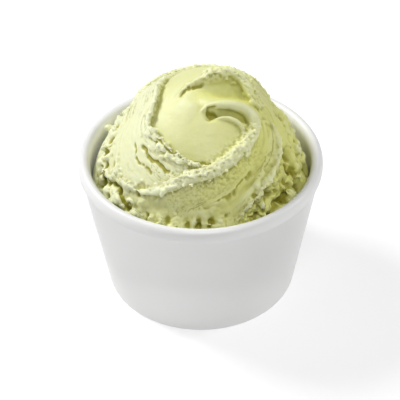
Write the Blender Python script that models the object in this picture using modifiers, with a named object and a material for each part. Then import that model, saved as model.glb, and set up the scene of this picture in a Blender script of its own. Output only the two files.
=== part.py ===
"""A gelato cup: a thick white porcelain cup holding a tall mound of pistachio gelato.

The cup is one turned piece, and the gelato is the other. A spatula has spread the gelato in
spiral laps, so its mound carries rolled ridges, fold edges, a small bowl and a hooked curl.
Metres, +Z up, the cup standing on the ground with its axis on Z.
"""

from math import cos, pi, radians, sin

import bmesh
import bpy
import numpy as np

MM = 0.001

# The cup
CUP_HEIGHT = 56 * MM
RIM_RADIUS = 45 * MM
FOOT_RADIUS = 36 * MM
LIP_ACROSS = 2.2 * MM
LIP_TALL = 3.4 * MM
LIP_TUCK = 1.6 * MM
LIP_INNER_RADIUS = 40.5 * MM
LIP_STAND = 0.7 * MM
WALL_TOP = 52.6 * MM
WALL = 2.9 * MM
FLOOR_TOP = 5 * MM
INNER_FILLET = 6 * MM
BASE_EDGE = 0.8 * MM
FOOT_RING = 4.5 * MM
FOOT_EDGE = 0.4 * MM
RECESS = 1.5 * MM
CUP_STEPS = 64
LIP_INSIDE_STEPS = 5
LIP_OUTSIDE_STEPS = 6
LIP_TUCK_STEPS = 3
FILLET_STEPS = 4
EDGE_STEPS = 3

# The mound of gelato, before it is spread
GAP = 0.3 * MM
WALL_LINE = 45 * MM
WALL_LINE_SWELL = 2.2 * MM
MOUND_RISE = 43.9 * MM
MOUND_BULGE = 1.7
MOUND_FLATNESS = 1.31
MOUND_LEAN = 7.1 * MM
MOUND_OFFSET = (-1.7 * MM, 1.5 * MM)
MOUND_STEPS = 168
MOUND_RINGS = 66
GELATO_TRIANGLES = 6100
EDGE_FADE = 0.1
BACK_HOLLOW = 0.1

# What the spatula left: each stroke is a smooth curve through a few places in plan. It stands
# `height` proud, slopes off over `soft` on its full side, falls over `steep` on its other side,
# and has a groove `groove` deep beside the fall. `full_side` is 1 where the full side is to the
# left of the stroke's travel, and -1 where it is to the right.
HOOK = dict(
    knots=((0, -12), (5.6, -10.8), (11.8, -9.8), (17, -9.8), (18.8, -13.4), (15.5, -19.2)),
    height=3.0, soft=3.4, steep=1.6, groove=3.0, groove_width=1.6, full_side=1, fade=0.2,
)
ROPE = dict(
    knots=(
        (17, -9.8), (18.8, -13.4), (15.5, -19.2), (8.8, -25), (0, -28.8), (-10.7, -29.8), (-22.5, -25.5),
        (-29.3, -16),
    ),
    height=2.9, soft=3.0, steep=2.2, groove=2.2, groove_width=3.2, full_side=-1, fade=0.16,
)
LEFT_FOLD = dict(
    knots=(
        (12, 23), (2, 22.5), (-8, 17), (-13.2, 8.8), (-15, -1), (-17.6, -9.5), (-13.7, -17.6), (-3.6, -25.7),
        (5, -26.4),
    ),
    height=2.9, soft=7.0, steep=1.2, groove=0.8, groove_width=1.6, full_side=-1, fade=0.3,
)
CREST = dict(
    knots=((-7.5, -4.6), (-4.2, -2.2), (1, -1), (8, 0.5), (11.6, 1.4), (14.5, 0.4), (17, -3), (19.5, -6)),
    height=2.4, soft=4.5, steep=1.3, groove=0.6, groove_width=2.4, full_side=1, fade=0.18,
)
RIGHT_LAP = dict(
    knots=((21.5, -9.5), (25.4, -7.6), (28, -12), (25.5, -20.7), (19.6, -29.4), (11.8, -35.6)),
    height=2.2, soft=2.8, steep=1.3, groove=2.2, groove_width=2.8, full_side=-1, fade=0.15,
)
FRONT_LAP = dict(
    knots=((18.5, -19), (15.1, -26.6), (4.2, -34.3), (-0.7, -36.4)),
    height=1.3, soft=3.0, steep=1.2, groove=0.9, groove_width=1.6, full_side=-1, fade=0.2,
)
BACK_LAP = dict(
    knots=((-33, 6), (-28, 18), (-17, 28), (-3, 32), (12, 30), (24, 22), (31, 10)),
    height=2.0, soft=5.0, steep=1.6, groove=1.4, groove_width=2.6, full_side=-1, fade=0.2,
)
STROKES = (HOOK, ROPE, LEFT_FOLD, CREST, RIGHT_LAP, FRONT_LAP, BACK_LAP)
SPAN_POINTS = 10

# The small bowl that the last turn of the spatula left at the top
BOWL_CENTRE = (8.5 * MM, -4.2 * MM)
BOWL_HALF = (13 * MM, 6 * MM)
BOWL_DEPTH = 3.2 * MM

# Torn lumps along the foot of the mound
LUMP_HEIGHT = 0.9 * MM
LUMP_WAVES = ((0.55, 0.21, 0.4), (-0.33, 0.62, 1.9), (0.71, -0.48, 3.1), (0.16, 0.83, 4.6))
LUMP_FROM = 0.55

PORCELAIN = (0.86, 0.86, 0.85)
PISTACHIO = (0.73, 0.76, 0.41)


def clear_scene():
    for old in list(bpy.data.objects):
        bpy.data.objects.remove(old, do_unlink=True)


def finish(name, colour, roughness):
    """A material of one even colour."""
    material = bpy.data.materials.new(name)
    material.use_nodes = True
    shader = material.node_tree.nodes["Principled BSDF"]
    shader.inputs["Base Color"].default_value = (*colour, 1)
    shader.inputs["Roughness"].default_value = roughness
    shader.inputs["Metallic"].default_value = 0.0
    return material


def place(name, mesh, material, collection):
    """Puts a mesh into the collection as a smooth object of that name."""
    piece = bpy.data.objects.new(name, mesh)
    collection.objects.link(piece)
    mesh.materials.append(material)
    return piece


def oval(centre, across, tall, start, end, steps):
    """Points of an oval arc in the profile plane, angles in degrees from +X."""
    turns = (radians(start + (end - start) * i / steps) for i in range(steps + 1))
    return [(centre[0] + across * cos(turn), centre[1] + tall * sin(turn)) for turn in turns]


def arc(centre, radius, start, end, steps):
    """Points of a round arc in the profile plane."""
    return oval(centre, radius, radius, start, end, steps)


def outer_radius(z):
    """The wall's outer radius at a height: a straight taper from the foot to under the lip."""
    slope = (RIM_RADIUS - LIP_STAND - FOOT_RADIUS) / WALL_TOP
    return FOOT_RADIUS + slope * z


def inner_radius(z):
    """The wall's inner radius at a height: the taper, then upright inside the thick lip."""
    return np.minimum(outer_radius(z) - WALL, LIP_INNER_RADIUS)


def inner_profile(inset, top):
    """The cup's inside from the middle of its floor up to `top`, moved inwards by `inset`."""
    fillet = INNER_FILLET - inset
    floor = FLOOR_TOP + inset
    side = outer_radius(floor + fillet) - WALL - inset
    turn = arc((side - fillet, floor + fillet), fillet, -90, 0, FILLET_STEPS)
    return [(0.0, floor), *turn, (outer_radius(top) - WALL - inset, top)]


def profile_mesh(name, outline):
    """A mesh of the outline's points, in the XZ plane, joined by edges."""
    mesh = bpy.data.meshes.new(name)
    edges = [(i, i + 1) for i in range(len(outline) - 1)]
    mesh.from_pydata([(x, 0.0, z) for x, z in outline], edges, [])
    return mesh


def cup_outline():
    """Half the cup's section: up its inside, over the lip, down its outside and under its foot."""
    middle = RIM_RADIUS - LIP_ACROSS
    widest = CUP_HEIGHT - LIP_TALL
    upright = CUP_HEIGHT * (LIP_INNER_RADIUS + WALL - FOOT_RADIUS) / (outer_radius(CUP_HEIGHT) - FOOT_RADIUS)
    inside = inner_profile(0.0, upright)
    under = outer_radius(widest - LIP_TUCK)
    lip = [
        *oval((middle, widest), middle - LIP_INNER_RADIUS, LIP_TALL, 180, 90, LIP_INSIDE_STEPS),
        *oval((middle, widest), LIP_ACROSS, LIP_TALL, 90, 0, LIP_OUTSIDE_STEPS)[1:],
        *oval((under, widest), RIM_RADIUS - under, LIP_TUCK, 0, -90, LIP_TUCK_STEPS)[1:],
    ]
    base = arc((FOOT_RADIUS - BASE_EDGE, BASE_EDGE), BASE_EDGE, 0, -90, EDGE_STEPS)
    ring_inside = FOOT_RADIUS - FOOT_RING
    ring = arc((ring_inside + FOOT_EDGE, FOOT_EDGE), FOOT_EDGE, -90, -180, EDGE_STEPS)
    return [*inside, *lip, *base, *ring, (ring_inside - RECESS, RECESS), (0.0, RECESS)]


def build_cup(collection):
    piece = place("cup", profile_mesh("cup", cup_outline()), finish("porcelain", PORCELAIN, 0.3), collection)
    turned = piece.modifiers.new("turned", "SCREW")
    turned.axis = "Z"
    turned.steps = CUP_STEPS
    turned.render_steps = CUP_STEPS
    turned.use_merge_vertices = True
    turned.merge_threshold = 0.00005
    turned.use_smooth_shade = True
    return piece


def smooth_curve(knots):
    """Points of a smooth curve through the knots (Catmull-Rom), in metres."""
    knots = np.array(knots, float) * MM
    padded = np.vstack([2 * knots[0] - knots[1], knots, 2 * knots[-1] - knots[-2]])
    found = []
    for before, start, end, after in zip(padded, padded[1:], padded[2:], padded[3:]):
        for t in np.arange(SPAN_POINTS) / SPAN_POINTS:
            found.append(
                0.5 * (
                    2 * start
                    + (end - before) * t
                    + (2 * before - 5 * start + 4 * end - after) * t**2
                    + (3 * start - before - 3 * end + after) * t**3
                )
            )
    return np.array([*found, knots[-1]])


def beside(curve, places):
    """How far each place lies to the left of the curve's travel, and how far along it, 0 to 1."""
    start = curve[:-1]
    step = curve[1:] - start
    from_start = places[:, None] - start
    part = np.clip((from_start * step).sum(2) / (step**2).sum(1), 0, 1)
    off = from_start - part[..., None] * step
    away = np.hypot(off[..., 0], off[..., 1])
    nearest = away.argmin(axis=1)
    rows = np.arange(len(places))
    left = step[nearest, 0] * from_start[rows, nearest, 1] - step[nearest, 1] * from_start[rows, nearest, 0]
    along = (nearest + part[rows, nearest]) / len(start)
    return np.copysign(away[rows, nearest], left), along


def ease(value):
    """0 to 1 with level ends."""
    value = np.clip(value, 0, 1)
    return value * value * (3 - 2 * value)


def stroke_relief(stroke, places):
    """The height that one stroke adds at each place in plan."""
    left, along = beside(smooth_curve(stroke["knots"]), places)
    side = left * stroke["full_side"]
    full = np.exp(-((side / (stroke["soft"] * MM)) ** 2))
    fall = 1 - ease(-side / (stroke["steep"] * MM))
    middle = stroke["steep"] + 0.4 * stroke["groove_width"]
    groove = np.exp(-(((-side / MM - middle) / stroke["groove_width"]) ** 2)) * (side < 0)
    ends = ease(along / stroke["fade"]) * ease((1 - along) / stroke["fade"])
    ridge = stroke["height"] * np.where(side > 0, full, fall)
    return (ridge - stroke["groove"] * groove) * ends * MM


def bowl_relief(places):
    """The scooped bowl: a dish with level edges."""
    across = (places - BOWL_CENTRE) / BOWL_HALF
    return -BOWL_DEPTH * ease(1 - np.hypot(across[:, 0], across[:, 1]))


def lump_relief(places, down):
    """Uneven lumps that grow towards the foot of the mound, where `down` is 1."""
    waves = sum(
        np.sin((a * places[:, 0] + b * places[:, 1]) / MM + phase) for a, b, phase in LUMP_WAVES
    )
    return LUMP_HEIGHT * waves / len(LUMP_WAVES) * ease((down - LUMP_FROM) / (1 - LUMP_FROM)) * 2


def gelato_outline():
    """Half of the mound's section before spreading: from its peak out to the wall, then down inside."""
    inside = inner_profile(GAP, WALL_LINE)
    edge = inside[-1][0]
    dome = []
    for i in range(MOUND_RINGS):
        spread = sin(pi / 2 * i / MOUND_RINGS)
        rise = MOUND_RISE * (1 - spread**MOUND_BULGE) ** (1 / MOUND_FLATNESS)
        dome.append((edge * spread, WALL_LINE + rise))
    return [*dome, *reversed(inside)]


def spread_mound(points):
    """Moves the mound's points as the spatula did: the lean, the strokes and the torn foot."""
    raised = points[:, 2] > WALL_LINE - GAP
    dome = points[raised]
    up = (dome[:, 2] - WALL_LINE) / MOUND_RISE
    back = np.clip(np.sin(np.arctan2(dome[:, 1], dome[:, 0])), 0, 1) ** 3
    dome[:, :2] *= 1 - (BACK_HOLLOW * back * ease(up / EDGE_FADE) * (1 - up))[:, None]
    dome[:, 0] += MOUND_OFFSET[0] * up + MOUND_LEAN * up**2
    dome[:, 1] += MOUND_OFFSET[1] * up
    plan = dome[:, :2]
    relief = sum(stroke_relief(stroke, plan) for stroke in STROKES) + bowl_relief(plan)
    relief += lump_relief(plan, 1 - up)
    around = np.arctan2(plan[:, 1], plan[:, 0])
    swell = WALL_LINE_SWELL * np.sin(2 * around + 0.6) * (1 - up) ** 2
    dome[:, 2] += relief * ease(up / EDGE_FADE) + swell
    room = inner_radius(dome[:, 2]) - 2 * GAP
    reach = np.hypot(dome[:, 0], dome[:, 1])
    crowded = (reach > room) & (up > 0)
    dome[crowded, :2] *= (room / reach)[crowded, None]
    points[raised] = dome
    return points


def build_gelato(collection):
    mesh = profile_mesh("gelato", gelato_outline())
    shape = bmesh.new()
    shape.from_mesh(mesh)
    bmesh.ops.spin(
        shape, geom=shape.verts[:] + shape.edges[:], cent=(0, 0, 0), axis=(0, 0, 1),
        angle=2 * pi, steps=MOUND_STEPS, use_merge=True,
    )
    bmesh.ops.remove_doubles(shape, verts=shape.verts[:], dist=0.05 * MM)
    shape.verts.ensure_lookup_table()
    spread = spread_mound(np.array([vertex.co[:] for vertex in shape.verts]))
    for vertex, place_now in zip(shape.verts, spread):
        vertex.co = place_now
    bmesh.ops.recalc_face_normals(shape, faces=shape.faces[:])
    for face in shape.faces:
        face.smooth = True
    mesh.clear_geometry()
    shape.to_mesh(mesh)
    shape.free()
    piece = place("gelato", mesh, finish("pistachio gelato", PISTACHIO, 0.5), collection)
    mesh.calc_loop_triangles()
    fewer = piece.modifiers.new("fewer faces", "DECIMATE")
    fewer.ratio = GELATO_TRIANGLES / len(mesh.loop_triangles)
    return piece


def main():
    clear_scene()
    collection = bpy.data.collections.new("gelato cup")
    bpy.context.scene.collection.children.link(collection)
    build_cup(collection)
    build_gelato(collection)


main()
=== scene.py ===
# %% [markdown]
# A gelato cup: a thick white porcelain cup with a tall mound of pistachio gelato, spread by a
# spatula in spiral laps. The imported CAD model gives the frame, so every place below is worked
# out from its boxes. The CAD cup and gelato stay, hidden, and two finer pieces
# stand for them here.

# %% Load the frame
import math
import random

import bmesh
import bpy
import numpy as np
from mathutils import Matrix, Vector, noise


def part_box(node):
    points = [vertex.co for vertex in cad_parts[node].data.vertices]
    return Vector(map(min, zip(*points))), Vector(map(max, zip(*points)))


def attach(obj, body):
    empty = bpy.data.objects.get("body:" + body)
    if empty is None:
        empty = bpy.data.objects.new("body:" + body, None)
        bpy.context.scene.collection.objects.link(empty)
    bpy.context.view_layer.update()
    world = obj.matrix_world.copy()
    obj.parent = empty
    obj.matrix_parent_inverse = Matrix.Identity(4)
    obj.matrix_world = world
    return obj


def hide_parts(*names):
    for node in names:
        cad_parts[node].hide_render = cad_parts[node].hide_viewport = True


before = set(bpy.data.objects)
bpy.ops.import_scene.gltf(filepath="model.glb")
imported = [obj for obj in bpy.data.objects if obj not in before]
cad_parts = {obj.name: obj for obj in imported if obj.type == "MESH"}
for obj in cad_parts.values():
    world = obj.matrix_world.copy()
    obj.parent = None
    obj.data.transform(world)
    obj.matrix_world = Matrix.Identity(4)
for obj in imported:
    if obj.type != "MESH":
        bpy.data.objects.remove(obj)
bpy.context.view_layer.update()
MM = 0.001
RIM_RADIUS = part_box("cup")[1].x
CUP_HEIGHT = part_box("cup")[1].z
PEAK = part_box("gelato")[1].z
GELATO_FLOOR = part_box("gelato")[0].z
random.seed(11)
noise.seed_set(11)
print(f"cup {RIM_RADIUS / MM:.1f} mm in radius and {CUP_HEIGHT / MM:.1f} mm high")
print(f"gelato from {GELATO_FLOOR / MM:.1f} up to {PEAK / MM:.1f} mm")

# %% [markdown]
# Both pieces start as a turned section. One helper makes an object, hangs it on the root body and
# hides the CAD node it stands for. The others draw a section's arcs and turn it once round the cup's
# axis. A Screw modifier would also do it, but the gelato's points have to be there to be pushed, so
# the turning is done in the mesh.


# %% Shared helpers for pieces
def add_piece(name, mesh, node):
    """A smooth object that rides on the cup's body and stands for one CAD node."""
    piece = bpy.data.objects.new(name, mesh)
    bpy.context.scene.collection.objects.link(piece)
    for face in mesh.polygons:
        face.use_smooth = True
    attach(piece, "root")
    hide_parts(node)
    return piece


def arc(centre, radius, start, end, steps):
    """Points of an arc in the section plane, with angles in degrees from +X."""
    turns = [math.radians(start + (end - start) * i / steps) for i in range(steps + 1)]
    return [(centre[0] + radius * math.cos(t), centre[1] + radius * math.sin(t)) for t in turns]


def spin_outline(outline, steps):
    """Turns a section in the XZ plane once round the Z axis."""
    shape = bmesh.new()
    points = [shape.verts.new((x, 0, z)) for x, z in outline]
    for start, end in zip(points, points[1:]):
        shape.edges.new((start, end))
    bmesh.ops.spin(
        shape, geom=shape.verts[:] + shape.edges[:], cent=(0, 0, 0), axis=(0, 0, 1),
        angle=2 * math.pi, steps=steps, use_merge=True,
    )
    bmesh.ops.remove_doubles(shape, verts=shape.verts[:], dist=0.01 * MM)
    bmesh.ops.recalc_face_normals(shape, faces=shape.faces[:])
    return shape


# %% [markdown]
# The cup is slip-cast porcelain: a straight tapered wall about 3 mm thick with a thick rounded lip,
# a slightly rounded base edge and a foot ring with a shallow recess. It could be a cylinder with
# bevels, but a turned section gives the lip its true round form.

# %% The cup's section
FOOT_RADIUS = 0.8 * RIM_RADIUS
LIP_ACROSS = 2.2 * MM
LIP_TALL = 3.4 * MM
LIP_TUCK = 1.6 * MM
LIP_STAND = 0.7 * MM
LIP_INNER_RADIUS = 40.5 * MM
WALL = 2.9 * MM
FLOOR_TOP = 5 * MM
INNER_FILLET = 6 * MM
BASE_EDGE = 0.9 * MM
FOOT_RING = 4.5 * MM
FOOT_EDGE = 0.4 * MM
RECESS = 1.5 * MM
WALL_SLOPE = (RIM_RADIUS - LIP_STAND - FOOT_RADIUS) / (CUP_HEIGHT - LIP_TALL)
CUP_STEPS = 192


def outer_radius(z):
    """The cup wall's outer radius at a height."""
    return FOOT_RADIUS + WALL_SLOPE * z


def inner_radius(z):
    """The cup wall's inner radius at a height: the taper, then upright inside the thick lip."""
    return min(outer_radius(z) - WALL, LIP_INNER_RADIUS)


def inside_line(top):
    """The cup's inside from the middle of the floor up to `top`."""
    side = inner_radius(FLOOR_TOP + INNER_FILLET)
    turn = arc((side - INNER_FILLET, FLOOR_TOP + INNER_FILLET), INNER_FILLET, -90, 0, 8)
    bend = (LIP_INNER_RADIUS + WALL - FOOT_RADIUS) / WALL_SLOPE
    return [(0.0, FLOOR_TOP), *turn, (LIP_INNER_RADIUS, bend), (LIP_INNER_RADIUS, top)]


def oval(centre, across, tall, start, end, steps):
    """Points of an arc of an oval in the section plane, with angles in degrees from +X."""
    turns = [math.radians(start + (end - start) * i / steps) for i in range(steps + 1)]
    return [(centre[0] + across * math.cos(t), centre[1] + tall * math.sin(t)) for t in turns]


lip_centre = (RIM_RADIUS - LIP_ACROSS, CUP_HEIGHT - LIP_TALL)
tuck_centre = (outer_radius(CUP_HEIGHT - LIP_TALL - LIP_TUCK), CUP_HEIGHT - LIP_TALL)
ring_inside = FOOT_RADIUS - FOOT_RING
cup_section = [
    *inside_line(lip_centre[1] - LIP_ACROSS),
    *oval(lip_centre, lip_centre[0] - LIP_INNER_RADIUS, LIP_TALL, 180, 95, 12),
    *oval(lip_centre, LIP_ACROSS, LIP_TALL, 90, 0, 14),
    *oval(tuck_centre, RIM_RADIUS - tuck_centre[0], LIP_TUCK, -12, -90, 7),
    *arc((FOOT_RADIUS - BASE_EDGE, BASE_EDGE), BASE_EDGE, 0, -90, 6),
    *arc((ring_inside + FOOT_EDGE, FOOT_EDGE), FOOT_EDGE, -90, -180, 4),
    (ring_inside - RECESS, RECESS),
    (0.0, RECESS),
]
cup_shape = spin_outline(cup_section, CUP_STEPS)
cup_mesh = bpy.data.meshes.new("porcelain_cup")
cup_shape.to_mesh(cup_mesh)
cup_shape.free()
cup = add_piece("porcelain_cup", cup_mesh, "cup")
print(f"cup: {len(cup_mesh.polygons)} faces, {len(cup_section)} points in its section")

# %% [markdown]
# The mound starts as a plain dome that fills the cup and leans a little to one side. Everything
# the spatula did is then worked out from its strokes, each one a smooth curve through a few
# places in plan. A stroke leaves a proud edge on one side and a drop on the other.

# %% The plain dome
WALL_LINE = 0.8036 * CUP_HEIGHT
CREST_STANDS = 1.7 * MM
MOUND_RISE = PEAK - WALL_LINE - CREST_STANDS
MOUND_BULGE = 1.7
MOUND_FLATNESS = 1.31
MOUND_LEAN = 7.1 * MM
MOUND_OFFSET = (-1.7 * MM, 1.5 * MM)
MOUND_STEPS = 420
MOUND_RINGS = 150
EDGE_RADIUS = inner_radius(WALL_LINE)


def dome_height(spread):
    """The plain dome's height where its ring has spread to this share of the edge radius."""
    return WALL_LINE + MOUND_RISE * (1 - spread**MOUND_BULGE) ** (1 / MOUND_FLATNESS)


spreads = [math.sin(math.pi / 2 * i / MOUND_RINGS) for i in range(MOUND_RINGS)]
CUT_HEIGHT = 41.5 * MM
DOME_FOOT = CUT_HEIGHT - 3 * MM
dome_section = [
    *((EDGE_RADIUS * spread, dome_height(spread)) for spread in spreads),
    *((inner_radius(z), z) for z in np.linspace(WALL_LINE, DOME_FOOT, 12)),
    (0.0, DOME_FOOT),
]
mound = spin_outline(dome_section, MOUND_STEPS)
print(f"plain dome: {len(mound.verts)} points")


# %% [markdown]
# A stroke answers two questions about any place on the mound: how far to its side the place
# lies, and how far along it. Every relief below is a function of those two.

# %% Strokes of the spatula
class Stroke:
    """A smooth curve in plan through a few knots, in millimetres from the cup's axis."""

    def __init__(self, knots, samples=16):
        knots = np.array(knots, float)
        padded = np.vstack([2 * knots[0] - knots[1], knots, 2 * knots[-1] - knots[-2]])
        t = (np.arange(samples) / samples)[:, None]
        spans = [
            b + 0.5 * t * (c - a + t * (2 * a - 5 * b + 4 * c - d + t * (3 * b - a - 3 * c + d)))
            for a, b, c, d in zip(padded, padded[1:], padded[2:], padded[3:])
        ]
        self.points = np.vstack([*spans, knots[-1:]]) * MM
        step = np.gradient(self.points, axis=0)
        self.travel = step / np.linalg.norm(step, axis=1)[:, None]
        run = np.linalg.norm(np.diff(self.points, axis=0), axis=1)
        self.along = np.concatenate([[0], np.cumsum(run)])
        self.length = self.along[-1]

    def reach(self, plan):
        """For each place: distance to the left of the travel, and distance along, in metres."""
        side = np.empty(len(plan))
        along = np.empty(len(plan))
        for first in range(0, len(plan), 8000):
            part = slice(first, first + 8000)
            gap = plan[part, None] - self.points
            away = np.hypot(gap[..., 0], gap[..., 1])
            near = away.argmin(axis=1)
            rows = np.arange(len(near))
            offset = gap[rows, near]
            travel = self.travel[near]
            left = travel[:, 0] * offset[:, 1] - travel[:, 1] * offset[:, 0]
            past = (near == 0) | (near == len(self.points) - 1)
            side[part] = np.where(past, np.copysign(away[rows, near], left), left)
            along[part] = self.along[near] + (offset * travel).sum(1).clip(-0.3 * MM, 0.3 * MM)
        return side, along

    def at(self, share):
        """The place and the left-hand normal at a share of the stroke's length."""
        place = np.array([np.interp(share * self.length, self.along, self.points[:, i]) for i in (0, 1)])
        travel = np.array([np.interp(share * self.length, self.along, self.travel[:, i]) for i in (0, 1)])
        travel /= np.linalg.norm(travel)
        return place, np.array([-travel[1], travel[0]])


def ease(value):
    """0 to 1 with level ends."""
    value = np.clip(value, 0, 1)
    return value * value * (3 - 2 * value)


def fade(stroke, along, start=0.15, end=0.15):
    """1 along a stroke's middle, easing to 0 over these shares of its length at its ends."""
    share = along / stroke.length
    return ease(share / start) * ease((1 - share) / end)


HOOK_KNOTS = [(0.2, -12), (2.8, -11.2), (5.6, -10.8), (8.7, -10.2), (11.8, -9.8), (14.7, -9.6), (17, -9.8)]
ROPE_KNOTS = [
    (18.6, -11.2), (18.8, -13.4), (17.5, -16.4), (15.5, -19.2), (12.3, -22.4), (8.8, -25), (4.6, -27.2),
    (-0.2, -28.8), (-5.4, -29.6),
]
RIDGE_KNOTS = [(-10.7, -29.8), (-16.5, -28.8), (-22.5, -25.5), (-27, -20.8), (-29.3, -16), (-30, -11)]
hook = Stroke(HOOK_KNOTS + ROPE_KNOTS[:3])
rope = Stroke(HOOK_KNOTS[-1:] + ROPE_KNOTS + RIDGE_KNOTS)
curl = Stroke(HOOK_KNOTS + ROPE_KNOTS + RIDGE_KNOTS)
lip = Stroke([(1.8, -13.1), (6, -13.8), (10, -14), (13.2, -14.7), (15, -16.2), (14.7, -18.5), (12.8, -21)])
left_fold = Stroke([
    (-6, 19.5), (-10.5, 14.5), (-13.2, 8.8), (-14.6, 3), (-15, -1), (-16.2, -5), (-17.6, -9.5),
    (-16.6, -13.2), (-13.7, -17.6), (-9.5, -22.5), (-3.6, -25.7), (1, -26.6), (5, -26.4),
])
crest = Stroke([
    (-7.5, -4.6), (-4.2, -2.2), (1, -1), (8, 0.5), (11.6, 1.4), (14.5, 0.4), (17, -3), (19.5, -6),
])
crease = Stroke([(-7.5, -4.5), (-4, -9.4), (-0.7, -11.8)])
right_lap = Stroke([
    (21.5, -9.5), (23, -8), (25.4, -7.6), (27.3, -9), (28, -12), (27.4, -16), (25.5, -20.7), (22.9, -25.1),
    (19.6, -29.4), (16, -32.8), (11.8, -35.6),
])
front_lap = Stroke([(18.5, -19), (18, -22.4), (15.1, -26.6), (10.5, -30.6), (4.2, -34.3), (-0.7, -36.4)])
back_lap = Stroke([(-27, 3), (-23, 13), (-13, 20.5), (-1, 24), (11, 22.5), (21, 15), (27, 5)])
back_edge = Stroke([(-31, 10), (-26, 21), (-15, 29.5), (0, 33), (14, 30), (25, 21), (31, 9)])
right_edge = Stroke([(8, 27), (20, 20), (29, 10), (34, 0), (35, -8), (33, -16), (28.5, -24), (22, -31)])
left_edge = Stroke([(-30, 10), (-33, 4), (-35, -3), (-35.5, -9), (-33.5, -16), (-29, -24), (-22, -31)])
bottom_edge = Stroke([(-22, -31), (-14, -35), (-6, -37), (2, -37), (7, -36.5)])
main_strokes = {"hook": hook, "rope": rope, "curl": curl, "left fold": left_fold, "crest": crest}
for name, stroke in main_strokes.items():
    print(f"{name}: {stroke.length / MM:.0f} mm long")

# %% [markdown]
# A spatula leaves a lap with two different sides: it slopes off softly where the metal slid away,
# and drops steeply where the gelato tore. So one function makes a ledge from a soft width, a steep
# width and a groove at its foot, and every lap is a call of it. The hollow on top is a dish.


# %% The broad relief
def ledge(
    stroke, plan, full_side, height, soft, steep,
    groove=0.0, groove_width=2.0, start=0.15, end=0.15,
):
    """A proud edge: it slopes off over `soft` on its full side and falls over `steep` beyond it."""
    side, along = stroke.reach(plan)
    side = side * full_side / MM
    ridge = np.where(side > 0, np.exp(-((side / soft) ** 2)), 1 - ease(-side / steep))
    middle = steep + 0.4 * groove_width
    dip = np.exp(-(((-side - middle) / groove_width) ** 2)) * (side < 0)
    return (height * ridge - groove * dip) * fade(stroke, along, start, end) * MM


def dish(plan, centre, half, depth, turn=0.0):
    """A smooth hollow with level edges."""
    offset = plan / MM - centre
    c, s = math.cos(math.radians(turn)), math.sin(math.radians(turn))
    across = (c * offset[:, 0] + s * offset[:, 1]) / half[0]
    down = (-s * offset[:, 0] + c * offset[:, 1]) / half[1]
    return -depth * ease(1 - np.hypot(across, down)) * MM


def broad_relief(plan):
    """The height that the strokes add to the plain dome."""
    relief = ledge(
        left_fold, plan, -1, height=2.5, soft=8.0, steep=0.5,
        groove=0.5, groove_width=1.0, start=0.30, end=0.14,
    )
    relief += ledge(
        rope, plan, -1, height=0.9, soft=3.5, steep=1.8,
        groove=3.2, groove_width=2.8, start=0.12, end=0.35,
    )
    relief += ledge(
        crest, plan, 1, height=2.3, soft=4.5, steep=1.0,
        groove=0.8, groove_width=2.4, start=0.50, end=0.2,
    )
    relief += ledge(
        hook, plan, 1, height=1.0, soft=4.5, steep=1.6,
        groove=3.2, groove_width=1.2, start=0.1, end=0.3,
    )
    relief += ledge(
        crease, plan, -1, height=0.6, soft=4.0, steep=3.2,
        groove=0.0, groove_width=2.0, start=0.3, end=0.3,
    )
    relief += ledge(
        right_lap, plan, -1, height=2.0, soft=3.4, steep=0.8,
        groove=2.6, groove_width=3.0, start=0.2, end=0.15,
    )
    relief += ledge(
        front_lap, plan, -1, height=1.3, soft=3.0, steep=0.7,
        groove=1.0, groove_width=1.3, start=0.2, end=0.2,
    )
    relief += ledge(
        back_lap, plan, -1, height=2.0, soft=5.0, steep=1.4,
        groove=1.4, groove_width=2.6, start=0.2, end=0.2,
    )
    relief += dish(plan, (8.5, -4.2), (13, 6), 3.4, 8)
    return relief


def lean_of(up):
    """How far the dome has moved over at this share of its rise."""
    return MOUND_OFFSET[0] * up + MOUND_LEAN * up**2, MOUND_OFFSET[1] * up


def surface_height(plan):
    """The spread mound's height at places in plan, following the lean."""
    height = np.full(len(plan), WALL_LINE + 0.6 * MOUND_RISE)
    for _ in range(14):
        shift = lean_of((height - WALL_LINE) / MOUND_RISE)
        spread = np.hypot(plan[:, 0] - shift[0], plan[:, 1] - shift[1]) / EDGE_RADIUS
        height = 0.4 * height + 0.6 * dome_height(np.clip(spread, 0, 1))
    return height + broad_relief(plan)


# %% [markdown]
# Each of the dome's points moves over with the lean and then up or down by the relief. The back
# stands in a little from the wall, which leaves the dark gap behind the mound.

# %% Spread the dome
BACK_HOLLOW = 0.1
places = np.array([vertex.co[:] for vertex in mound.verts])
raised = places[:, 2] > WALL_LINE - 0.01 * MM
dome = places[raised]
up = (dome[:, 2] - WALL_LINE) / MOUND_RISE
back = np.clip(np.sin(np.arctan2(dome[:, 1], dome[:, 0])), 0, 1) ** 3
dome[:, :2] *= 1 - (BACK_HOLLOW * back * ease(up / 0.1) * (1 - up))[:, None]
shift = lean_of(up)
dome[:, 0] += shift[0]
dome[:, 1] += shift[1]
dome[:, 2] += broad_relief(dome[:, :2]) * ease(up / 0.08)
places[raised] = dome
for vertex, place_now in zip(mound.verts, places):
    vertex.co = place_now
print(f"spread mound: {places[:, 2].max() / MM:.1f} mm high")


# %% [markdown]
# The curl on top, the torn rope that runs down from it and the thin lip inside it overhang the
# face below them, which no push of the dome's points could do. Each is a round bead drawn along
# its stroke, thick where the gelato rolled up and thin at its ends, sunk into the mound.

# %% Rolled edges
def along_stops(distance, *stops):
    """A value along a stroke through (distance in mm, value) stops."""
    distances, values = zip(*stops)
    return float(np.interp(distance, distances, values))


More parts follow.
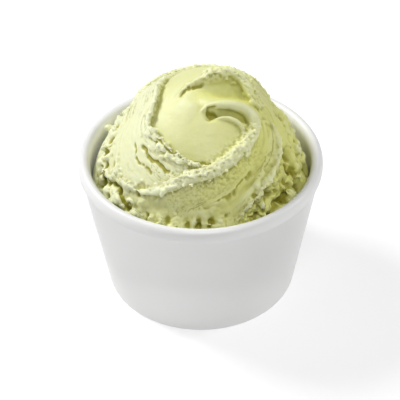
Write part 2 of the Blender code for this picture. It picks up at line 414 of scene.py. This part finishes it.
def rolled_edge(name, stroke, radius_stops, lift_stops, sideways=0.0, spacing=1.2):
    """A round bead along a stroke, its radius, lift and place beside the stroke in millimetres."""
    points = int(stroke.length / (spacing * MM))
    shares = np.linspace(0, 1, points)
    plan = np.array([stroke.at(share)[0] + stroke.at(share)[1] * sideways * MM for share in shares])
    heights = surface_height(plan)
    curve = bpy.data.curves.new(name, "CURVE")
    curve.dimensions = "3D"
    curve.bevel_depth = 1.0
    curve.bevel_resolution = 5
    curve.use_fill_caps = True
    spline = curve.splines.new("POLY")
    spline.points.add(points - 1)
    for point, share, place, height in zip(spline.points, shares, plan, heights):
        distance = share * stroke.length / MM
        wobble = 1 + 0.12 * noise.noise(Vector((distance / 2.5, stroke.length / MM, 0)))
        point.co = (*place, height + along_stops(distance, *lift_stops) * MM, 1)
        point.radius = wobble * along_stops(distance, *radius_stops) * MM
    holder = bpy.data.objects.new(name, curve)
    bpy.context.scene.collection.objects.link(holder)
    bpy.context.view_layer.update()
    made = bpy.data.meshes.new_from_object(holder.evaluated_get(bpy.context.evaluated_depsgraph_get()))
    bpy.data.objects.remove(holder)
    mound.from_mesh(made)
    bpy.data.meshes.remove(made)


rolled_edge(
    "curl", curl,
    [(0, 0.5), (3, 1.1), (8, 1.6), (16, 2.1), (24, 2.6), (42, 2.6), (54, 2.2), (64, 1.4), (95, 0.6)],
    [(0, -0.4), (3, -0.2), (8, -0.2), (20, -0.3), (42, -0.6), (64, -0.4), (95, -0.3)],
)
rolled_edge(
    "lip", lip,
    [(0, 0.3), (4, 0.6), (12, 0.9), (18, 0.5)],
    [(0, 0.2), (5, 0.8), (12, 1.0), (18, 0.2)],
)
rolled_edge(
    "crest", crest,
    [(0, 0.3), (8, 0.5), (14, 0.9), (20, 1.6), (26, 1.8), (34, 1.0)],
    [(0, 0.1), (14, -0.1), (34, -0.6)],
    sideways=1.0,
)
rolled_edge(
    "fold", left_fold,
    [(0, 0.2), (9, 0.4), (15, 0.9), (29, 1.0), (51, 1.0), (62, 0.4)],
    [(0, -0.4), (15, 0.1), (41, 0.1), (62, -0.4)],
    sideways=-0.8,
)
rolled_edge(
    "right lap", right_lap,
    [(0, 0.4), (8, 1.2), (30, 1.2), (40, 0.5)],
    [(0, -0.2), (8, 0.6), (30, 0.6), (40, -0.2)],
)
rolled_edge(
    "back lap", back_lap,
    [(0, 0.3), (12, 0.9), (50, 0.9), (70, 0.3)],
    [(0, -0.3), (12, 0.2), (50, 0.2), (70, -0.3)],
)
print(f"mound with its rolled edges: {len(mound.verts)} points")

# %% [markdown]
# Where the spatula let go, the frozen gelato tore into crumbs. They sit along the rope, the
# fold, the crest and the foot of the mound, each a lump of its own size and turn.


# %% Torn crumbs
crumb = bmesh.new()
bmesh.ops.create_icosphere(crumb, subdivisions=2, radius=1.0)
crumb_mesh = bpy.data.meshes.new("crumb")
crumb.to_mesh(crumb_mesh)
crumb.free()


def add_crumb(place, radius, travel):
    """One lump: a small sphere, drawn out along the stroke, squashed and turned at random."""
    lean = math.atan2(travel[1], travel[0]) + random.gauss(0, 0.5)
    turn = Matrix.Rotation(lean, 3, "Z") @ Matrix.Rotation(random.gauss(0, 0.5), 3, "X")
    turn = turn @ Matrix.Rotation(random.gauss(0, 0.5), 3, "Y")
    squash = Matrix.Diagonal((random.uniform(0.9, 1.9), random.uniform(0.6, 1.1), random.uniform(0.5, 0.9)))
    lump = crumb_mesh.copy()
    lump.transform(Matrix.Translation(place) @ (turn @ squash * radius).to_4x4())
    mound.from_mesh(lump)
    bpy.data.meshes.remove(lump)


def crumble(stroke, count, start, end, spread, sizes, lift=0.0, sideways=0.0, bead=0.0):
    """Crumbs over part of a stroke, or over its bead, most of them near the small end of `sizes`."""
    spots = []
    for _ in range(count):
        place, left = stroke.at(random.uniform(start, end))
        offset = random.gauss(0, spread)
        rise = lift + math.sqrt(max(bead**2 - offset**2, 0))
        spot = place + left * (sideways + offset) * MM
        spots.append((spot, place if bead else spot, (left[1], -left[0]), rise))
    heights = surface_height(np.array([spot[1] for spot in spots]))
    for (spot, _, travel, rise), height in zip(spots, heights):
        radius = (sizes[0] + (sizes[1] - sizes[0]) * random.random() ** 2.2) * MM
        add_crumb((*spot, height + rise * MM + random.uniform(-0.4, 0.3) * radius), radius, travel)


crumble(
    curl, 330, start=0.24, end=0.69,
    spread=1.6, sizes=(0.45, 0.95), lift=-0.6, sideways=0.2, bead=2.6,
)
crumble(left_fold, 70, start=0.16, end=0.50, spread=0.4, sizes=(0.45, 0.9), lift=0.5, sideways=-0.6)
crumble(left_fold, 90, start=0.47, end=0.92, spread=0.9, sizes=(0.5, 1.4), lift=0.5, sideways=-0.9)
crumble(crest, 150, start=0.34, end=1.0, spread=1.5, sizes=(0.45, 1.1), lift=0.9, sideways=2.2)
crumble(crest, 50, start=0.04, end=0.42, spread=0.4, sizes=(0.45, 0.8), lift=0.3, sideways=0.7)
crumble(right_edge, 60, start=0.38, end=1.0, spread=2.2, sizes=(0.9, 2.4), lift=-0.6, sideways=0.0)
crumble(right_lap, 60, start=0.1, end=0.95, spread=0.4, sizes=(0.45, 0.9), lift=0.0, sideways=0.9)
crumble(left_edge, 40, start=0.0, end=1.0, spread=1.0, sizes=(0.9, 2.6), lift=-0.6, sideways=0.9)
crumble(bottom_edge, 30, start=0.0, end=1.0, spread=1.2, sizes=(0.7, 1.8), lift=-0.4, sideways=0.0)
crumble(curl, 36, start=0.70, end=1.0, spread=0.6, sizes=(0.45, 0.8), lift=0.3, sideways=0.0)
crumble(back_lap, 170, start=0.06, end=0.94, spread=0.8, sizes=(0.45, 1.0), lift=0.3, sideways=0.5)
crumble(back_edge, 70, start=0.0, end=1.0, spread=1.4, sizes=(0.9, 2.4), lift=-0.7, sideways=0.0)
print(f"mound with its crumbs: {len(mound.verts)} points")

# %% [markdown]
# The dome, the rolled edges and the crumbs are closed shapes that pass through each other. A
# voxel remesh melts them into one skin with even faces, as the real thing is one mass.

# %% Melt the pieces together
VOXEL = 0.40 * MM


def remeshed(shape, voxel):
    """The shape as one even skin, by a voxel remesh."""
    mesh = bpy.data.meshes.new("melting")
    shape.to_mesh(mesh)
    holder = bpy.data.objects.new("melting", mesh)
    bpy.context.scene.collection.objects.link(holder)
    melt = holder.modifiers.new("melt", "REMESH")
    melt.mode = "VOXEL"
    melt.voxel_size = voxel
    bpy.context.view_layer.update()
    graph = bpy.context.evaluated_depsgraph_get()
    made = bpy.data.meshes.new_from_object(holder.evaluated_get(graph))
    bpy.data.objects.remove(holder)
    bpy.data.meshes.remove(mesh)
    return made


melted = remeshed(mound, VOXEL)
mound.free()
print(f"melted: {len(melted.vertices)} points")

skin = bmesh.new()
skin.from_mesh(melted)
bpy.data.meshes.remove(melted)
bmesh.ops.bisect_plane(
    skin, geom=skin.verts[:] + skin.edges[:] + skin.faces[:],
    plane_co=(0, 0, CUT_HEIGHT), plane_no=(0, 0, 1), clear_inner=True,
)
bmesh.ops.smooth_vert(
    skin, verts=skin.verts[:], factor=0.5, use_axis_x=True, use_axis_y=True, use_axis_z=True,
)
print(f"skin: {len(skin.verts)} points, {len(skin.faces)} faces")

# %% [markdown]
# Torn gelato is rough, spread gelato is smooth with fine drawn lines, and the foot of the mound is
# ragged with holes. Masks from the strokes say how much of each there is at every point.

# %% Where each kind of surface lies
positions = np.array([vertex.co[:] for vertex in skin.verts])
normals = np.array([vertex.normal[:] for vertex in skin.verts])
plan = positions[:, :2]
edge_ends = np.array([[vertex.index for vertex in edge.verts] for edge in skin.edges])


def near(stroke, full_side, inner, outer, start=-0.1, end=1.1, soft=0.06):
    """1 beside part of a stroke, fading over `inner` on its full side and `outer` beyond it."""
    side, along = stroke.reach(plan)
    side = side * full_side / MM
    share = along / stroke.length
    across = np.where(side > 0, np.exp(-((side / inner) ** 2)), np.exp(-((side / outer) ** 2)))
    return across * ease((share - start) / soft) * ease((end - share) / soft)


def cells(points, size):
    """Distances to the nearest and second nearest of scattered points, in cells of this size."""
    found = [noise.voronoi(Vector(point))[0] for point in points / size]
    return np.array([item[0] for item in found]), np.array([item[1] for item in found])


torn = np.maximum.reduce([
    near(curl, -1, inner=2.8, outer=3.2, start=0.22, end=0.70),
    near(left_fold, -1, inner=0.9, outer=0.4, start=0.18, end=0.50),
    near(left_fold, -1, inner=2.2, outer=0.5, start=0.48, end=0.96),
    near(crest, 1, inner=4.0, outer=0.5, start=0.30),
    near(right_lap, -1, inner=0.5, outer=2.4, start=0.05),
    0.5 * near(curl, -1, inner=0.9, outer=1.0, start=0.70, end=1.0),
    near(back_lap, -1, inner=1.2, outer=1.2, start=0.05, end=0.95),
])
laps = np.maximum.reduce([
    near(left_fold, -1, inner=9.0, outer=0.3, start=0.22, end=1.0),
    near(curl, 1, inner=9.0, outer=0.3, start=0.4, end=1.0),
    near(right_lap, -1, inner=7.0, outer=0.5),
    near(back_lap, -1, inner=12.0, outer=6.0),
])
ragged = np.maximum.reduce([
    near(right_edge, 1, inner=5.5, outer=4.5, start=0.25),
    near(left_edge, 1, inner=3.5, outer=3.0),
    near(bottom_edge, 1, inner=2.2, outer=2.2),
    0.9 * near(back_edge, 1, inner=4.0, outer=3.0),
])

# %% [markdown]
# Frozen gelato splits along the stroke where it bends. A crack is a narrow stroke that pushes the
# points in, wavering and closing here and there. Pits are the dark holes near the cup's wall. Both
# could be a bump in the finish, but only real depth keeps them dark from every side.

# %% Cracks and pits
cracks = np.zeros(len(plan))


def crack(knots, width, depth, broken=0.0):
    """Opens a crack along a stroke, in millimetres; a broken one closes here and there."""
    stroke = Stroke(knots, 10)
    side, along = stroke.reach(plan)
    wander = 0.3 * np.sin(along / MM * 0.7) + 0.08 * np.sin(along / MM * 2.0 + 1)
    open_here = 0.75 + 0.25 * np.sin(along / MM * 1.1) + 0.2 * np.sin(along / MM * 3.1 + 2)
    open_here = ease(open_here + 0.3 - broken)
    shape = np.exp(-(((side / MM - wander) / width) ** 2)) * open_here * fade(stroke, along, 0.12, 0.12)
    np.maximum(cracks, shape * depth, out=cracks)


crack(
    [(-21.3, -15.1), (-19.1, -18.5), (-17.3, -21), (-13.4, -25.2), (-10, -27.1)],
    width=0.45, depth=1.2, broken=0.0,
)
crack(
    [(-15.9, -17.5), (-13.7, -19.8), (-11.3, -22), (-8.5, -23.8), (-5.7, -24.6)],
    width=0.4, depth=1.0, broken=0.0,
)
crack([(-23.5, -12), (-22.6, -17), (-20, -21.6), (-16, -25.4)], width=0.35, depth=0.6, broken=0.25)
crack([(-2.6, -25.4), (0.5, -26), (4, -26)], width=0.35, depth=0.8, broken=0.0)
crack(
    [(18, -22.4), (16.9, -24.3), (12.9, -28.7), (8.3, -31.9), (4.5, -33.6)],
    width=0.4, depth=0.8, broken=0.15,
)
crack([(-30.6, -18.9), (-28.3, -22.8), (-26.5, -25.9), (-25.1, -28.3)], width=0.55, depth=2.2)
crack([(30, -20), (28.8, -22.9), (26.5, -25.9), (24, -28.8)], width=0.8, depth=2.0, broken=0.1)
crack([(-7.2, -5), (-5, -3.2), (-1.6, -2.3), (2, -1.8)], width=0.45, depth=0.7, broken=0.2)
crack([(1.6, -12.5), (5, -12.7), (9, -12.7), (12.6, -13.3)], width=0.5, depth=1.0)
PITS = [
    (31, -9.5, 1.7, 3.2), (31.6, -12.3, 1.5, 3.2), (33.4, -12.1, 1.5, 3), (38.5, -4, 1.1, 2.4),
    (30.4, -17.8, 1.3, 2.4), (32, -18.5, 1, 1.8), (35.6, -14.9, 1.6, 3.4), (-32.5, 0.1, 1.3, 2.2),
    (-34.4, -5.3, 1.4, 2.4), (-37.2, -8.4, 1.2, 2.6), (-36, -13, 1.6, 3.4), (-34.5, -9.4, 1, 1.6),
    (-5, -37, 1.1, 1.3), (-0.7, -36.9, 1.1, 1.2), (4, -36.4, 1.0, 1.1), (-12, -34.4, 1.1, 1.3),
]
pits = np.zeros(len(plan))
for x, y, radius, depth in PITS:
    away = np.hypot(plan[:, 0] / MM - x, plan[:, 1] / MM - y)
    np.maximum(pits, depth * np.exp(-((away / radius) ** 2)), out=pits)
print(f"{(cracks > 0.2).sum()} points in cracks, {(pits > 0.5).sum()} in pits")

# %% [markdown]
# The last relief comes from noise: crumb-sized cells on the torn parts, soft lumps and hollows at
# the ragged foot, and faint lines drawn along each stroke, in the stroke's own directions. Behind
# the crest those directions come from the back lap.

# %% Fine relief
curl_side, curl_along = curl.reach(plan)
fold_side, fold_along = left_fold.reach(plan)
back_side, back_along = back_lap.reach(plan)
inside = curl_side < 0
behind = plan[:, 1] > 8 * MM
stroke_side = np.where(behind, back_side, np.where(inside, fold_side, curl_side))
stroke_along = np.where(behind, back_along + 0.4, np.where(inside, fold_along + 0.2, curl_along))
drawn = np.column_stack([curl_side / 0.7 + curl_along / 2.5, curl_along / 0.9, positions[:, 2] / 1.2])
first, second = cells(drawn, 1.15 * MM)
fine_first, fine_second = cells(positions + 3 * MM, 0.85 * MM)
big = np.array([noise.noise(vertex.co / (3.4 * MM)) for vertex in skin.verts])
middling = np.array([noise.noise(vertex.co / (1.4 * MM)) for vertex in skin.verts])
rough = np.array([noise.fractal(vertex.co / (2.2 * MM), 0.8, 2.1, 4) for vertex in skin.verts])
lines = np.array([
    noise.noise(Vector((side / (1.0 * MM), along / (9 * MM), 5)))
    for side, along in zip(stroke_side, stroke_along)
])
lump = 0.5 - first - 0.4 * ease(1 - (second - first) / 0.3)
fine_lump = 0.5 - fine_first - 0.3 * ease(1 - (fine_second - fine_first) / 0.3)
sunk = 1.9 * ease((-0.2 - big) / 0.3)
push = torn * (0.5 * lump + 0.25 * fine_lump + 0.25 * middling)
push += ragged * (1.6 * big - sunk + 0.4 * middling + 0.15 * fine_lump)
push += 0.06 * rough * (1 + 1.5 * torn) + 0.34 * lines * laps * (1 - torn) - cracks - pits
positions += normals * (push * MM)[:, None]

# %% [markdown]
# The finish paints shade into the gelato's hollows, as a deeper colour, and paints what stands
# out paler, as a painted highlight. Each point is compared with a smoothed copy of the skin, and
# the difference goes to the finish as an attribute, along with the masks.

# %% Shallow hollows and crests, for the finish's painted shade and highlight
degree = np.bincount(edge_ends.ravel(), minlength=len(positions))[:, None]


def averaged(values):
    """Each point's value averaged with its neighbours'."""
    total = np.zeros_like(values)
    for ends in (edge_ends, edge_ends[:, ::-1]):
        for column in range(values.shape[1]):
            total[:, column] += np.bincount(ends[:, 0], values[ends[:, 1], column], len(values))
    return 0.5 * values + 0.5 * total / np.maximum(degree, 1)


softened = positions.copy()
for _ in range(12):
    softened = averaged(softened)
hollow = ((softened - positions) * normals).sum(1, keepdims=True) / MM
hollow = averaged(hollow)[:, 0]
print(f"hollows from {hollow.min():.2f} to {hollow.max():.2f} mm")
proud = positions[:, 2] - surface_height(plan) + broad_relief(plan)
# How far each point stands proud; the finish paints proud parts paler, as a painted highlight.
lay = np.clip(proud / (3 * MM), -0.3, 1.2)
tear_mask = np.clip(torn + ragged, 0, 1)
# Cracks and pits, which the finish paints dark, as painted shade.
crack_shade_mask = np.clip(cracks * 1.2 + pits / 3, 0, 1)
for vertex, place in zip(skin.verts, positions):
    vertex.co = place
stored = {
    "tear": tear_mask, "hollow": hollow, "crack": crack_shade_mask, "side": stroke_side,
    "along": stroke_along, "lay": lay, "laps": laps,
}
for name, values in stored.items():
    layer = skin.verts.layers.float.new(name)
    for vertex, value in zip(skin.verts, values):
        vertex[layer] = value

# %% [markdown]
# The gelato has to stay clear of the porcelain, so its points are drawn in to just short of the
# wall. Below, an open edge is carried down in three steps to the cup's floor and filled, which
# closes the skin where nobody sees it. A Decimate modifier thins the flat places at the end.

# %% Keep the gelato inside the cup and close it below
WALL_GAP = 0.12 * MM
for vertex in skin.verts:
    if vertex.co.z < CUP_HEIGHT:
        room = inner_radius(vertex.co.z) - WALL_GAP
        reach = math.hypot(vertex.co.x, vertex.co.y)
        if reach > room:
            vertex.co.x *= room / reach
            vertex.co.y *= room / reach
rim_edges = [edge for edge in skin.edges if edge.is_boundary]
SKIRT = [(25 * MM, 0.4 * MM), (12 * MM, 0.4 * MM), (GELATO_FLOOR + 0.5 * MM, 3.6 * MM)]
for z, gap in SKIRT:
    grown = bmesh.ops.extrude_edge_only(skin, edges=rim_edges)
    ring = [item for item in grown["geom"] if isinstance(item, bmesh.types.BMVert)]
    for vertex in ring:
        reach = math.hypot(vertex.co.x, vertex.co.y)
        room = inner_radius(z) - gap
        vertex.co = (vertex.co.x * room / reach, vertex.co.y * room / reach, z)
    rim_edges = [item for item in grown["geom"] if isinstance(item, bmesh.types.BMEdge)]
bmesh.ops.holes_fill(skin, edges=rim_edges, sides=0)
bmesh.ops.recalc_face_normals(skin, faces=skin.faces[:])
gelato_mesh = bpy.data.meshes.new("gelato_mound")
skin.to_mesh(gelato_mesh)
skin.free()
gelato = add_piece("gelato_mound", gelato_mesh, "gelato")
thin = gelato.modifiers.new("thin flat places", "DECIMATE")
thin.ratio = 0.80
bpy.context.view_layer.update()
thinned = gelato.evaluated_get(bpy.context.evaluated_depsgraph_get()).to_mesh()
print(f"gelato: {len(thinned.loop_triangles)} triangles")


# %% [markdown]
# Finishes are written as Python expressions. A Field wraps one socket, so that mask * 2 + 1
# adds its own Math nodes, and any other node comes from Finish.node.

# %% A small language for finishes
class Field:
    """A value that varies over a surface."""

    def __init__(self, finish, socket):
        self.finish = finish
        self.socket = socket

    def math(self, operation, *values):
        sockets = dict(enumerate(values))
        return self.finish.node("ShaderNodeMath", {"operation": operation}, sockets)

    def __add__(self, other):
        return self.math("ADD", self, other)

    def __radd__(self, other):
        return self.math("ADD", other, self)

    def __sub__(self, other):
        return self.math("SUBTRACT", self, other)

    def __rsub__(self, other):
        return self.math("SUBTRACT", other, self)

    def __mul__(self, other):
        return self.math("MULTIPLY", self, other)

    def __rmul__(self, other):
        return self.math("MULTIPLY", other, self)

    def clamped(self):
        return self.finish.node("ShaderNodeClamp", {}, {"Value": self})


class Finish:
    """A material built from expressions."""

    def __init__(self, name):
        self.material = bpy.data.materials.new(name)
        self.material.use_nodes = True
        self.tree = self.material.node_tree
        self.shader = self.tree.nodes["Principled BSDF"]

    def node(self, kind, settings, sockets, output=0):
        """Any node, from its type, its settings and the values or links of its sockets."""
        made = self.tree.nodes.new(kind)
        for name, value in settings.items():
            setattr(made, name, value)
        for name, value in sockets.items():
            self.plug(made.inputs[name], value)
        return Field(self, made.outputs[output])

    def plug(self, socket, value):
        """Links a field to a socket, or sets the socket's own value."""
        if isinstance(value, Field):
            self.tree.links.new(value.socket, socket)
        else:
            socket.default_value = value

    def mix(self, factor, first, second):
        """A colour between two others."""
        sockets = {0: factor, 6: first, 7: second}
        return self.node("ShaderNodeMix", {"data_type": "RGBA"}, sockets, 2)

    def attribute(self, name):
        """A value stored at the mesh's points."""
        return self.node("ShaderNodeAttribute", {"attribute_name": name}, {}, 2)

    def object_place(self):
        """A place on the piece, in metres."""
        return self.node("ShaderNodeTexCoord", {}, {}, 3)

    def clouds(self, size, detail=3.0, roughness=0.5):
        """Smooth noise whose lumps are about `size` metres across, from 0 to 1."""
        sockets = {"Vector": self.object_place(), "Scale": 1 / size, "Detail": detail}
        sockets["Roughness"] = roughness
        return self.node("ShaderNodeTexNoise", {}, sockets)

    def put(self, **sockets):
        """Sets the shader's own sockets."""
        for name, value in sockets.items():
            self.plug(self.shader.inputs[name.replace("_", " ")], value)


# %% [markdown]
# The glaze is a satin white, a little uneven in colour and gloss, as a fired glaze is. A faint bump
# stands for its orange-peel skin.

# %% Porcelain
porcelain = Finish("porcelain")
cloud = porcelain.clouds(22 * MM)
speck = porcelain.clouds(1.1 * MM, 2.0)
porcelain.put(
    Base_Color=porcelain.mix(cloud, (0.78, 0.78, 0.772, 1), (0.81, 0.81, 0.802, 1)),
    Roughness=0.30 + cloud * 0.12,
    Normal=porcelain.node("ShaderNodeBump", {}, {"Strength": 0.05, "Distance": 0.05 * MM, "Height": speck}),
)
cup_mesh.materials.append(porcelain.material)
print(f"porcelain: {len(porcelain.tree.nodes)} nodes")

# %% [markdown]
# Pistachio gelato is a pale yellow green. Its colour carries painted light: what stands proud and
# the left side of the mound, where the key light falls, are painted paler as a highlight, and
# hollows, cracks and pores are painted a deep olive shade. Fine pores and dashes follow the
# strokes. A little light passes through it, so it is given some subsurface scattering.

# %% Gelato
pistachio = Finish("pistachio_gelato")
broad = pistachio.clouds(9 * MM)
grain = pistachio.clouds(0.5 * MM, 4.0, 0.65)
hollow_here = pistachio.attribute("hollow")
tear_here = pistachio.attribute("tear")
crack_shade_here = pistachio.attribute("crack")


def stroke_noise(wide, long, detail):
    """Noise drawn out along the strokes, its grains `wide` by `long` metres."""
    place = pistachio.node("ShaderNodeCombineXYZ", {}, {
        "X": pistachio.attribute("side") * (1 / wide), "Y": pistachio.attribute("along") * (1 / long),
    })
    sockets = {"Vector": place, "Scale": 1.0, "Detail": detail, "Roughness": 0.55}
    return pistachio.node("ShaderNodeTexNoise", {}, sockets)


lap_here = pistachio.attribute("laps")
dots = ((stroke_noise(0.6 * MM, 0.9 * MM, 2.0) - 0.56) * 14.0).clamped()
tears = ((stroke_noise(0.6 * MM, 5 * MM, 2.0) - 0.56) * 14.0).clamped()
patches = ((stroke_noise(3.0 * MM, 16 * MM, 2.0) - 0.48) * 8.0).clamped()
pores = (dots + tears).clamped() * patches * lap_here
streaks = stroke_noise(0.8 * MM, 12 * MM, 2.0)
# Painted shade: hollows and cracks are darkened to a deep olive.
painted_shade_mask = (hollow_here * 3.2 + crack_shade_here * 0.9).clamped()
across = pistachio.node("ShaderNodeSeparateXYZ", {}, {"Vector": pistachio.object_place()}, 0)
lay_here = pistachio.attribute("lay")
# Painted light: paler towards the left, where the key light falls, and on what stands proud, as a painted
# highlight; painted shade in hollows; the broad clouds add tone that differs at random.
painted_light_and_tone = 0.36 - across * (0.014 / MM) + lay_here * 0.4 - hollow_here * 0.7 + (broad - 0.5) * 0.4
painted_light_and_tone = painted_light_and_tone.clamped()
# The two colours are a shaded and a lit copy of the gelato's green, mixed by the painted light and random
# tone above.
face = pistachio.mix(painted_light_and_tone, (0.68, 0.685, 0.22, 1), (0.79, 0.81, 0.54, 1))
painted_shade_colour = pistachio.mix(painted_shade_mask, face, (0.38, 0.36, 0.05, 1))
# Painted shade in the fine pores: they are darkened to the same deep olive as the hollows.
colour_with_painted_light = pistachio.mix(pores * 0.8, painted_shade_colour, (0.36, 0.345, 0.07, 1))
pistachio.put(
    Base_Color=colour_with_painted_light,
    Roughness=0.46 + tear_here * 0.12,
    Subsurface_Weight=0.35,
    Subsurface_Radius=(1.0, 0.9, 0.35),
    Subsurface_Scale=0.8 * MM,
    Normal=pistachio.node(
        "ShaderNodeBump", {},
        {"Strength": 0.6, "Distance": 0.16 * MM, "Height": grain - pores * 2.2 + streaks * lap_here * 1.6},
    ),
)
gelato_mesh.materials.append(pistachio.material)
print(f"pistachio gelato: {len(pistachio.tree.nodes)} nodes")

# %% [markdown]
# The set is plain: a wide white floor, a soft sky, and large soft lights. The strongest one is
# above and behind on the left, so the shadow falls forward and to the right. The camera looks down
# at the cup from 40 degrees, with a long lens, as a food picture is usually taken.

# %% Floor, light and camera
FLOOR_HALF = 1.6
ground = bmesh.new()
bmesh.ops.create_grid(ground, x_segments=1, y_segments=1, size=FLOOR_HALF)
floor_mesh = bpy.data.meshes.new("floor")
ground.to_mesh(floor_mesh)
ground.free()
floor = bpy.data.objects.new("floor", floor_mesh)
bpy.context.scene.collection.objects.link(floor)
white = Finish("white_floor")
white.put(Base_Color=(0.55, 0.55, 0.55, 1), Roughness=0.9, Specular_IOR_Level=0.1)
white.put(Emission_Color=(1, 1, 1, 1), Emission_Strength=0.49)
floor_mesh.materials.append(white.material)

scene = bpy.context.scene
scene.view_settings.view_transform = "Standard"
scene.world = bpy.data.worlds.new("studio")
scene.world.use_nodes = True
scene.world.node_tree.nodes["Background"].inputs["Color"].default_value = (1, 1, 1, 1)
scene.world.node_tree.nodes["Background"].inputs["Strength"].default_value = 0.05


def soft_light(name, place, size, power):
    """A square area light that faces the cup."""
    lamp = bpy.data.lights.new(name, "AREA")
    lamp.size = size
    lamp.energy = power
    holder = bpy.data.objects.new(name, lamp)
    scene.collection.objects.link(holder)
    holder.location = place
    aim = Vector((0, 0, 0.05)) - holder.location
    holder.rotation_euler = aim.to_track_quat("-Z", "Y").to_euler()


soft_light("key", (-0.66, 0.36, 0.78), 0.35, 8.8)
soft_light("top", (0.0, -0.02, 0.95), 1.0, 1.2)
soft_light("front top", (0.12, -0.50, 0.86), 0.4, 3.6)
soft_light("left", (-1.0, -0.25, 0.35), 0.5, 0.9)
soft_light("edge", (0.80, 0.10, 0.55), 0.3, 2.4)

CAMERA_RISE = math.radians(40.59)
CAMERA_FAR = 0.540
CAMERA_PITCH = math.radians(0.4363)
CAMERA_YAW = math.radians(0.0366)
CAMERA_ROLL = math.radians(0.594)
CAMERA_LENS = 128.25
camera_data = bpy.data.cameras.new("camera")
camera_data.sensor_width = 36
camera_data.lens = CAMERA_LENS
camera_data.clip_start = 0.01
camera = bpy.data.objects.new("camera", camera_data)
scene.collection.objects.link(camera)
middle = CUP_HEIGHT / 2
spot = Vector((0, -CAMERA_FAR * math.cos(CAMERA_RISE), middle + CAMERA_FAR * math.sin(CAMERA_RISE)))
level = Matrix.Rotation(math.pi / 2 - CAMERA_RISE, 4, "X")
nudge = (
    Matrix.Rotation(CAMERA_PITCH, 4, "X")
    @ Matrix.Rotation(CAMERA_YAW, 4, "Y")
    @ Matrix.Rotation(-CAMERA_ROLL, 4, "Z")
)
camera.matrix_world = Matrix.Translation(spot) @ level @ nudge
scene.camera = camera
print(f"camera {CAMERA_FAR * 1000:.0f} mm from the cup's middle")
